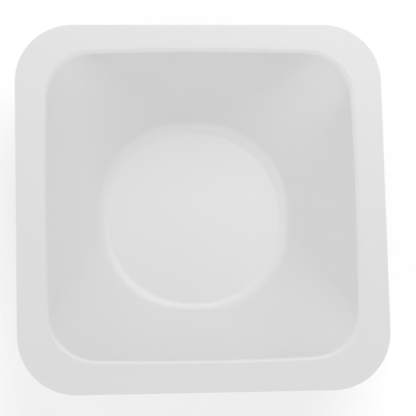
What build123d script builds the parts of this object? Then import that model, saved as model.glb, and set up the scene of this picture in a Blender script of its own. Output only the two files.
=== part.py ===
from build123d import *
from math import atan2, cos, radians, sin, tan
import os

# Square weighing boat, 100 mL, formed in one piece from thin white polystyrene sheet.
#
# A flat square rim with rounded corners surrounds one open well. The four walls lean
# inwards and run from a rounded square mouth to a round flat base. Forming draws the
# sheet down into the well, so that the walls and the base are thinner than the rim.
#
# Frame: the origin is under the middle of the rim, on the surface that the base stands
# on. +Z is up, and +X and +Y run along the sides of the rim. All sizes are millimetres.

# ---- the rim ----
rim_width = 89.0  # across the cut edge, side to side
rim_corner = 14.0  # radius of the rim's cut corners
rim_border = 7.0  # from the cut edge in to the mouth of the well
height = 25.0  # from the underside of the base to the top of the rim

# ---- the well, where its flat faces would meet if no bend were rounded ----
mouth_corner = 11.0  # radius of the mouth's corners
side_angle = 1.8  # half the angle that each slightly bowed side of the mouth turns
base_width = 47.0  # diameter of the round base
well_shift = 0.6  # the well lies this far off the middle of the cut rim, along +Y

# ---- the sheet, and its bends as measured on the side that holds the sample ----
rim_sheet = 0.30  # thickness of the rim, as the sheet was supplied
wall_sheet = 0.20  # thickness of the drawn walls and base
rim_bend = 1.5  # radius where the rim turns down into the walls
base_bend = 4.0  # radius where the walls turn into the base

mouth_width = rim_width - 2 * rim_border

# The walls rise from the base at this angle, in the middle of each side.
wall_angle = atan2(height - wall_sheet, (mouth_width - base_width) / 2)

# The outer face of the sheet is the inner face moved down by the sheet's thickness and
# out by this much, which keeps the thickness even round the bend at the base.
skin = wall_sheet * tan(wall_angle / 2)


def soft_square(level, half_width, corner):
    """A square whose sides bow out a little. With corner = half_width it is a circle."""
    turn = radians(side_angle)
    side = corner + (half_width - corner) / (1 + sin(turn) - cos(turn))
    side_centre = half_width - side
    corner_centre = (side - corner) * sin(turn)
    with BuildSketch(Plane((0, well_shift, level))) as outline:
        with BuildLine():
            CenterArc((side_centre, 0), side, 0, side_angle)
            CenterArc((corner_centre, corner_centre), corner, side_angle, 90 - 2 * side_angle)
            CenterArc((0, side_centre), side, 90 - side_angle, side_angle)
            mirror(about=Plane.YZ)
            mirror(about=Plane.XZ)
        make_face()
    return outline.sketch


def well(floor_level, rim_level, grow, bend):
    """The solid that fills the well: a circle below, drawn out to a soft square above."""
    base_radius = base_width / 2 + grow
    with BuildPart() as form:
        add(soft_square(floor_level, base_radius, base_radius))
        add(soft_square(rim_level, mouth_width / 2 + grow, mouth_corner + grow))
        loft(ruled=True)
        fillet(form.faces().sort_by(Axis.Z)[0].edges(), radius=bend)
    return form.part


with BuildPart() as weighing_boat:
    # The underside: the outer face of the well, with the flat rim round its top.
    add(well(0, height - rim_sheet, skin, base_bend + wall_sheet))
    with BuildSketch(Plane.XY.offset(height - rim_sheet)):
        RectangleRounded(rim_width, rim_width, rim_corner)
    extrude(amount=rim_sheet)
    underside = weighing_boat.faces().filter_by(Axis.Z).sort_by(Axis.Z)[-2]
    fillet(underside.inner_wires()[0].edges(), radius=rim_bend - wall_sheet)

    # The upper side: the well is opened, and the rim turns down into it.
    add(well(wall_sheet, height, 0, base_bend), mode=Mode.SUBTRACT)
    upper_side = weighing_boat.faces().filter_by(Axis.Z).sort_by(Axis.Z)[-1]
    fillet(upper_side.inner_wires()[0].edges(), radius=rim_bend)

weighing_boat.part.label = "weighing_boat"

os.makedirs("parts", exist_ok=True)
export_step(weighing_boat.part, "parts/weighing_boat.step")
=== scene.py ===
# %% [markdown]
# # A weighing boat
# A weighing boat is a small open dish formed from one thin sheet of white polystyrene. The
# sheet is clamped flat, warmed until it is soft, and sucked down into a mould. Then a die
# cuts it out. What stayed flat is the rim, and what was drawn down is the well.
#
# This lesson loads the measured model of the dish, models the same form as one clean
# mesh that shades smoothly, and gives it the satin finish of formed plastic.

# %% Load the measured model
from math import atan2, cos, degrees, pi, radians, sin, tan

import bmesh
import bpy
from mathutils import Matrix, Vector


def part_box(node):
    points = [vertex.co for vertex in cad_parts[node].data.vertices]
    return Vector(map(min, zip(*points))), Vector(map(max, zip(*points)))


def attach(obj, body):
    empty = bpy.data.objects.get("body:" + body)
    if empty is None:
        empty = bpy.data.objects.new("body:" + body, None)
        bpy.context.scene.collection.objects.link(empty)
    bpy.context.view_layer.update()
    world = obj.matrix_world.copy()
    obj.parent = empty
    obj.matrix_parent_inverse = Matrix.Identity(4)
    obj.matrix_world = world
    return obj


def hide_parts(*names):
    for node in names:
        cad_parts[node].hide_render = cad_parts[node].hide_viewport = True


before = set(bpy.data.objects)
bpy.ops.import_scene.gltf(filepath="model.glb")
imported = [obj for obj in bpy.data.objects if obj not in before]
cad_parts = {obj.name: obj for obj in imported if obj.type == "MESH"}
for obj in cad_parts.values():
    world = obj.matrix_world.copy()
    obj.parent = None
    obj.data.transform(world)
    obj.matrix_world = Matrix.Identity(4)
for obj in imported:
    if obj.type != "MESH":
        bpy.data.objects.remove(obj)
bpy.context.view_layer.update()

low, high = (Vector(corner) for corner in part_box("weighing_boat"))
rim_half = (high.x - low.x) / 2
height = high.z - low.z
print(f"the rim is {2000 * rim_half:.1f} mm across and the dish {1000 * height:.1f} mm deep")

# %% [markdown]
# ## Sizes
# Blender works in metres, so one small unit keeps the numbers readable. The width and the
# depth come from the measured model. The rest are the dish's own proportions, taken on the
# face that holds the sample, where its flat faces would meet if no bend were rounded.

# %% The dish's own sizes
mm = 0.001
rim_corner = 14.0 * mm
rim_border = 7.0 * mm
mouth_corner = 11.0 * mm
base_half = 23.5 * mm
well_shift = 0.6 * mm
wall_sheet = 0.20 * mm

mouth_half = rim_half - rim_border
wall_angle = atan2(height - wall_sheet, mouth_half - base_half)
print(f"the walls rise at {degrees(wall_angle):.0f} degrees")

# %% [markdown]
# ## Bowed sides
# A sheet that is drawn down springs outwards a little when it leaves the mould, so the long
# sides of the well are not quite straight. Each one could be drawn as an arc, but an arc
# this shallow is as good as a parabola, which takes one line: it leaves both ends of the
# side at a small angle and stands furthest out in the middle.

# %% How a side bows out
side_turn = radians(1.8)
mouth_bow = tan(side_turn / 2) * (mouth_half - mouth_corner)


def bow_out(verts, reach, turn):
    """Push the straight sides outwards, from a ring whose corners start at the reach."""
    for vert in verts:
        across = 0 if abs(vert.co.x) > abs(vert.co.y) else 1
        along = vert.co[1 - across]
        if abs(along) < reach:
            bow = tan(turn / 2) * (reach - along ** 2 / reach)
            vert.co[across] += bow if vert.co[across] > 0 else -bow


print(f"each side of the mouth bows out by {mouth_bow / mm:.2f} mm")

# %% [markdown]
# ## Rings
# A rounded square is a square whose four corners were bevelled. When they are bevelled
# nearly all the way, the same square is a circle. Both rings then have the same vertices in
# the same order, so a wall bridged from one to the other is flat in the middle of each side
# and part of a cone at each corner, as a formed sheet is.
#
# Every ring is drawn at height zero and lifted once it is done. An edge that lies at zero is
# therefore part of the ring in hand, and no list of what each operator made has to be kept.

# %% A ring
corner_steps = 32
side_steps = 16
rounding_error = 0.001 * mm


def drawn(bm):
    """The edges of the ring in hand."""
    return [edge for edge in bm.edges if edge.verts[0].co.z == 0 == edge.verts[1].co.z]


def is_side(edge):
    """Whether an edge runs straight along X or Y, between two rounded corners."""
    run = edge.verts[1].co - edge.verts[0].co
    return min(abs(run.x), abs(run.y)) < rounding_error


def ring(bm, half, corner, level, shift=0.0, turn=0.0):
    square = bmesh.ops.create_circle(bm, segments=4, radius=half * 2 ** 0.5)["verts"]
    bmesh.ops.rotate(bm, verts=square, matrix=Matrix.Rotation(pi / 4, 3, "Z"))
    bmesh.ops.bevel(
        bm, geom=square, offset=corner, affect="VERTICES",
        segments=corner_steps, profile=0.5, material=-1,
    )
    sides = [edge for edge in drawn(bm) if is_side(edge)]
    bmesh.ops.subdivide_edges(bm, edges=sides, cuts=side_steps - 1)
    edges = drawn(bm)
    verts = list({vert for edge in edges for vert in edge.verts})
    bow_out(verts, half - corner, turn)
    bmesh.ops.translate(bm, verts=verts, vec=(0, shift, level))
    return edges


print(f"a ring has {corner_steps} steps round a corner and {side_steps} along a side")

# %% [markdown]
# The dish takes three rings: the cut edge of the rim, the mouth and the base. The mouth's
# sides bow back out to where the rim's border ends. The base is round, but a bevel that took
# the whole side would leave no straight edge to cut into steps, so it stops a little short.

# %% Draw the three rings
nearly_round = 0.97

bm = bmesh.new()
rim = ring(bm, rim_half, rim_corner, height)
mouth = ring(bm, mouth_half - mouth_bow, mouth_corner, height, well_shift, side_turn)
base = ring(bm, base_half, nearly_round * base_half, wall_sheet, well_shift, side_turn)
print(f"three rings of {len(rim)}, {len(mouth)} and {len(base)} edges")

# %% [markdown]
# ## Skin
# Bridging the rings makes the flat rim and the four walls, and one face closes the base.
# The real bends are round, because a sheet can't fold sharply over the mould. Bevels of the
# two inner rings make them. A bevel is told its distance from the old edge, and a bend of
# radius r that turns by an angle a starts r tan(a / 2) from it. The walls are less steep at
# the corners than at the sides, so the distance is the mean of the two.

# %% Bridge the rings and round the bends
rim_bend = 1.5 * mm
base_bend = 4.0 * mm

bmesh.ops.bridge_loops(bm, edges=rim + mouth)
bmesh.ops.bridge_loops(bm, edges=mouth + base)
bmesh.ops.contextual_create(bm, geom=base)

mouth_diagonal = mouth_half * 2 ** 0.5 - mouth_corner * (2 ** 0.5 - 1)
corner_angle = atan2(height, mouth_diagonal - base_half)
bend_reach = (tan(wall_angle / 2) + tan(corner_angle / 2)) / 2
for edges, radius, steps in ((mouth, rim_bend, 8), (base, base_bend, 14)):
    bmesh.ops.bevel(
        bm, geom=edges, offset=radius * bend_reach, affect="EDGES",
        segments=steps, profile=0.5, material=-1,
    )
print(f"the walls rise at {degrees(corner_angle):.0f} degrees in the corners")

# %% [markdown]
# The sheet's thickness will go on the underside, so every face has to point up, towards the
# sample. The base is the face with the most corners, and it shows which way they all point.

# %% Turn the faces up
bmesh.ops.recalc_face_normals(bm, faces=bm.faces)
disc = max(bm.faces, key=lambda face: len(face.verts))
if disc.normal.z < 0:
    bmesh.ops.reverse_faces(bm, faces=bm.faces)
print(f"the flat base is {2000 * max(v.co.x for v in disc.verts):.1f} mm across")

# %% [markdown]
# Long narrow faces would smear the shading of a bend over the flat next to it. Cutting the
# walls, the rim and the base into rows a millimetre or two apart keeps each bend's light on
# the bend. Length tells the edges apart: the walls' are the only tall ones, and once those
# are cut, only the edges across the rim are long.

# %% Cut the walls, the rim and the base into rows
wall_cuts = 20
rim_cuts = 6
long_edge = rim_border / 2 + 1 * mm
row = 2 * mm

walls = [e for e in bm.edges if abs(e.verts[0].co.z - e.verts[1].co.z) > height / 2]
bmesh.ops.subdivide_edges(bm, edges=walls, cuts=wall_cuts, use_grid_fill=True)
borders = [e for e in bm.edges if e.calc_length() > long_edge]
bmesh.ops.subdivide_edges(bm, edges=borders, cuts=rim_cuts, use_grid_fill=True)
while max(v.co.x for v in disc.verts) > 1.5 * row:
    bmesh.ops.inset_region(bm, faces=[disc], thickness=row, use_even_offset=True)
bmesh.ops.poke(bm, faces=[disc])
print(f"the skin has {len(bm.faces)} faces")

# %% [markdown]
# The bmesh was a workbench. Blender shows and renders an object, so the finished skin goes
# into a mesh and the mesh into an object, with its faces shaded smoothly.

# %% Make the object
skin = bpy.data.meshes.new("weighing_boat_sheet")
bm.to_mesh(skin)
bm.free()
for face in skin.polygons:
    face.use_smooth = True
boat = bpy.data.objects.new("weighing_boat_sheet", skin)
bpy.context.collection.objects.link(boat)
print(f"{boat.name} has {len(skin.vertices)} vertices")

# %% [markdown]
# ## Thickness
# The Solidify modifier gives the skin its thickness, downwards, so that the upper face stays
# where it was measured. The rim keeps the thickness of the sheet as it was supplied. The
# walls and the base were stretched, so they are thinner: a vertex group holds the rim, and
# a factor says how much of the thickness is left outside it.

# %% Give the sheet its thickness
rim_sheet = 0.30 * mm
just_under_rim = height - 0.01 * mm

uncut = boat.vertex_groups.new(name="undrawn_sheet")
uncut.add([v.index for v in skin.vertices if v.co.z > just_under_rim], 1.0, "REPLACE")
sheet = boat.modifiers.new("sheet", "SOLIDIFY")
sheet.thickness = rim_sheet
sheet.offset = -1
sheet.use_even_offset = True
sheet.vertex_group = uncut.name
sheet.thickness_vertex_group = wall_sheet / rim_sheet
print(f"the rim is {rim_sheet / mm:.2f} mm thick and the drawn sheet {wall_sheet / mm:.2f} mm")

# %% [markdown]
# The die leaves a clean edge, but not a razor's, so a very small Bevel takes the sharpness
# off it. Weighted Normal then lets the large flat faces decide the shading, which keeps the
# rim and the base looking flat right up to their bends.

# %% Soften the cut edge
die_edge = 0.05 * mm

cut = boat.modifiers.new("cut_edge", "BEVEL")
cut.width = die_edge
cut.segments = 2
cut.limit_method = "ANGLE"
cut.angle_limit = radians(60)
even = boat.modifiers.new("flat_stays_flat", "WEIGHTED_NORMAL")
even.keep_sharp = True
print(f"the cut edge is rounded by {die_edge / mm:.2f} mm")

# %% [markdown]
# ## Its place in the model
# The mesh takes the place of the measured model's one part. Nothing on the dish moves, so
# it rides on the model's only body.

# %% Put the mesh in the part's place
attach(boat, "root")
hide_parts("weighing_boat")
print(f"{boat.name} stands for weighing_boat")

# %% [markdown]
# ## Shader maths
# A finish is a small calculation at every point of the surface, and each step of it is a
# node. A small class lets that calculation be written as maths. It wraps one socket, an
# operator on it adds a Math node, and its one method for every other node sets what the
# node is first and what goes into its sockets after that.

# %% A value in a node tree
class Value:
    """One output in a material's node tree."""

    def __init__(self, tree, socket=None):
        self.tree = tree
        self.socket = socket

    def node(self, kind, settings, inputs, output=0):
        made = self.tree.nodes.new(kind)
        for name, setting in settings.items():
            setattr(made, name, setting)
        for name, given in inputs.items():
            if isinstance(given, Value):
                self.tree.links.new(given.socket, made.inputs[name])
            else:
                made.inputs[name].default_value = given
        return Value(self.tree, made.outputs[output])

    def maths(self, operation, first, second):
        return self.node("ShaderNodeMath", {"operation": operation}, {0: first, 1: second})

    def __add__(self, other):
        return self.maths("ADD", self, other)

    def __radd__(self, other):
        return self.maths("ADD", other, self)

    def __mul__(self, other):
        return self.maths("MULTIPLY", self, other)

    def __rmul__(self, other):
        return self.maths("MULTIPLY", other, self)


print("a Value adds and multiplies")

# %% [markdown]
# ## Formed polystyrene
# The dish is white plastic, dense enough to hide what lies under it. Polystyrene bends light
# by 1.59, and with that number the shader works out how much of the light is reflected. A
# Specular IOR Level a tenth over the neutral 0.5 lifts that by a tenth.
#
# Three faint things keep it from looking like paint: a cloudy change of white, a gloss
# that is a little duller where the sheet was drawn most, and a fine orange-peel ripple.
# They are made from noise on Object coordinates, so they stay where they are on the dish.

# %% Plastic and its noises
plastic = bpy.data.materials.new("white_polystyrene")
plastic.use_nodes = True
shader = plastic.node_tree.nodes["Principled BSDF"]
shader.inputs["IOR"].default_value = 1.59
shader.inputs["Specular IOR Level"].default_value = 0.55

start = Value(plastic.node_tree)
place = start.node("ShaderNodeTexCoord", {}, {}, output="Object")


def noise(size, detail):
    """Soft noise from 0 to 1, whose patches are about as wide as the size."""
    return start.node(
        "ShaderNodeTexNoise", {},
        {"Vector": place, "Scale": 1 / size, "Detail": detail, "Roughness": 0.5},
    )


cloud = noise(size=22 * mm, detail=2.0)
ripple = noise(size=3.5 * mm, detail=1.0)
grain = noise(size=1.6 * mm, detail=3.0)
print(f"{plastic.name} has three noises")

# %% [markdown]
# A formed sheet is never quite even, and neither is its white. Two whites that are nearly
# the same are mixed, mostly by the cloud and a little by the grain. A Mix node does it,
# because a Math node would turn a colour grey.

# %% The white
clear_white = (0.880, 0.880, 0.880, 1)
milky_white = (0.860, 0.860, 0.860, 1)

white = start.node(
    "ShaderNodeMix", {"data_type": "RGBA"},
    {"Factor": 0.7 * cloud + 0.3 * grain, 6: clear_white, 7: milky_white}, output=2,
)
print(f"the white lies between {milky_white[0]:.2f} and {clear_white[0]:.2f}")

# %% [markdown]
# The sheet left polished rollers, and forming relaxed it, so its gloss is a soft satin one:
# sharp enough to draw a bright line along a bend, too soft to mirror anything. The deeper
# the sheet was drawn, the duller it is. Height says how deep, from none at the rim to all
# of it well before the base.

# %% The gloss
satin = 0.285
drawn_dulling = 0.015
grain_dulling = 0.02

depth = start.node("ShaderNodeSeparateXYZ", {}, {"Vector": place}, output="Z")
drawn_down = start.node(
    "ShaderNodeMapRange", {"interpolation_type": "SMOOTHSTEP"},
    {"Value": depth, "From Min": height, "From Max": 0.3 * height, "To Min": 0, "To Max": 1},
)
gloss = satin + drawn_dulling * drawn_down + grain_dulling * grain
print(f"the roughness goes from {satin} to {satin + drawn_dulling + grain_dulling:.2f}")

# %% [markdown]
# The orange peel is far too shallow to be worth modelling, so it is a bump: it only tilts
# the light. Most of it is the ripple, with some grain on top.

# %% The ripple, and the finish put together
peel_depth = 0.02 * mm

peel = start.node(
    "ShaderNodeBump", {},
    {"Height": ripple + 0.4 * grain, "Strength": 0.25, "Distance": peel_depth}, output="Normal",
)
for name, value in (("Base Color", white), ("Roughness", gloss), ("Normal", peel)):
    plastic.node_tree.links.new(value.socket, shader.inputs[name])
boat.data.materials.append(plastic)
print(f"the finish uses {len(plastic.node_tree.nodes)} nodes")

# %% [markdown]
# ## Camera
# The camera looks down into the dish from a little in front of it and a little to the left,
# through a long lens, as a bench camera on a stand does. That is why the near wall looks
# narrow, and why the base sits off the middle of the mouth.

# %% Camera
scene = bpy.context.scene
scene.view_settings.view_transform = "Standard"
lens = bpy.data.cameras.new("camera")
lens.sensor_width = 36
lens.lens = 155.8
camera = bpy.data.objects.new("camera", lens)
camera.location = (-0.04227, -0.06054, 0.44982)
camera.rotation_euler = (radians(8.145), radians(-5.659), radians(-1.365))
scene.collection.objects.link(camera)
scene.camera = camera
print(f"the camera stands {camera.location.length:.2f} m from the dish")

# %% [markdown]
# ## What counts as the background
# A white background could be had by pouring light on it, but that light would wash out the
# dish too. Instead the floor and the room are brighter only on the rays that show them: the
# camera's own, and those that reach them by way of a gloss or through glass.

# %% Rays that show the background
def in_view(start):
    """1 on a ray that shows the background, and 0 on one that only lights the dish."""
    shown = 0
    for ray in ("Is Camera Ray", "Is Glossy Ray", "Is Transmission Ray"):
        kind = start.node("ShaderNodeLightPath", {}, {}, output=ray)
        shown = start.maths("MAXIMUM", shown, kind)
    return shown


print("in_view joins three kinds of ray")

# %% [markdown]
# ## Floor
# The floor is a pale, matt sheet. On its own it would render light grey, so where it is seen
# it also glows, just enough to reach white where nothing shades it. The shadow of the dish
# is still there, because a shadow takes away the lamps' light and not the glow. The floor
# lies a hair below the dish, so that the two never share a surface.

# %% Floor
floor_size = 3
floor_gap = 0.01 * mm
floor_albedo = 0.85
floor_glow = 0.36

bpy.ops.mesh.primitive_plane_add(size=floor_size)
floor = bpy.context.object
floor.location.z = -floor_gap
floor.name = "floor"
paper = bpy.data.materials.new("matt_paper")
paper.use_nodes = True
matt = paper.node_tree.nodes["Principled BSDF"]
matt.inputs["Base Color"].default_value = (floor_albedo, floor_albedo, floor_albedo, 1)
matt.inputs["Roughness"].default_value = 1
matt.inputs["Specular IOR Level"].default_value = 0
matt.inputs["Emission Color"].default_value = (1, 1, 1, 1)
glow = floor_glow * in_view(Value(paper.node_tree))
paper.node_tree.links.new(glow.socket, matt.inputs["Emission Strength"])
floor.data.materials.append(paper)
print(f"the floor is {floor_size} m across and glows at {floor_glow}")

# %% [markdown]
# ## Room
# An even white room fills every shadow a little, as a light tent does. It lights the dish
# at less than half strength, and shows as plain white behind it.

# %% Room
room_light = 0.415

world = bpy.data.worlds.new("white_room")
world.use_nodes = True
room = world.node_tree.nodes["Background"]
room.inputs["Color"].default_value = (1, 1, 1, 1)
brightness = room_light + (1 - room_light) * in_view(Value(world.node_tree))
world.node_tree.links.new(brightness.socket, room.inputs["Strength"])
scene.world = world
print(f"the room lights the dish at {room_light}")

# %% [markdown]
# ## Lamps
# One soft lamp stands behind the dish, a little to the right. It makes the far side of the
# rim the brightest, and it draws the thin bright lines along the two bends that face it,
# where the rim turns down and where the base begins. Broad, weak panels to the left and
# round the front fill the rest, so that no wall goes dark.

# %% Lamps
panel_watts = {180: 1.2, 240: 0.95, 300: 1.2}


def soft_lamp(name, turn, rise, distance, size, energy):
    """A square lamp that faces the dish. It stands at a turn in degrees, anticlockwise
    from the X axis, and at a rise in degrees above the floor."""
    lamp = bpy.data.lights.new(name, "AREA")
    lamp.size = size
    lamp.energy = energy
    stand = bpy.data.objects.new(name, lamp)
    towards = Vector((cos(radians(turn)), sin(radians(turn)), tan(radians(rise)))).normalized()
    stand.location = towards * distance
    stand.rotation_euler = towards.to_track_quat("Z", "Y").to_euler()
    scene.collection.objects.link(stand)
    print(f"{name} gives {energy} W from {distance} m")


soft_lamp("window", turn=68, rise=54, distance=0.6, size=0.45, energy=1.16)
for turn, watts in panel_watts.items():
    soft_lamp(f"panel_{turn}", turn, rise=33, distance=0.9, size=1.0, energy=watts)
